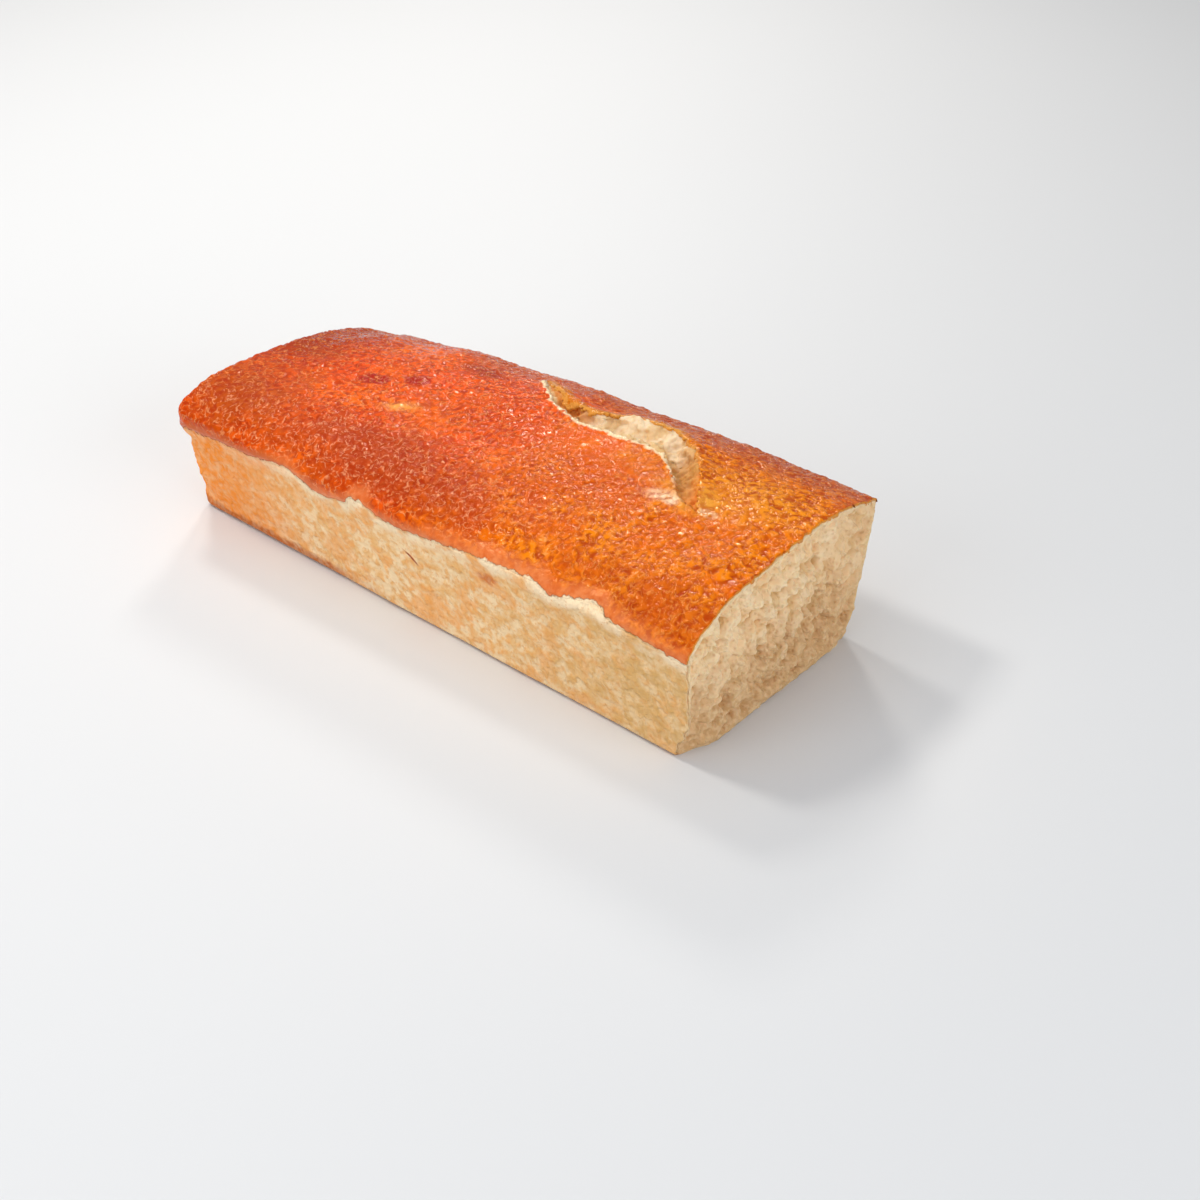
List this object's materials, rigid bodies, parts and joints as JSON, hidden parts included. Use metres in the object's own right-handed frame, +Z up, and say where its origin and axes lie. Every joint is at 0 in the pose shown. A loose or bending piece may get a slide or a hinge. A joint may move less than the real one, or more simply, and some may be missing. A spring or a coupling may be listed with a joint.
{
  "type": "pound cake loaf",
  "caption": "Loaf of pound cake from a tapered tin, cut across at one end, with a domed, split golden crust and a coarse pale crumb.",
  "frame": {"origin": "centre of the loaf's bounding box, on the surface that the loaf stands on", "axes": "+X along the loaf, from its uncut end to its cut face; +Z up through the crown; -Y the side with the fuller top edge"},
  "size_m": [0.243, 0.1062, 0.0627],
  "materials": {
    "cake": "browned, slightly glossy crust on top, pale matt crumb at the sides and the cut"
  },
  "bodies": {
    "root": {"loaf": "cake"}
  },
  "joints": []
}
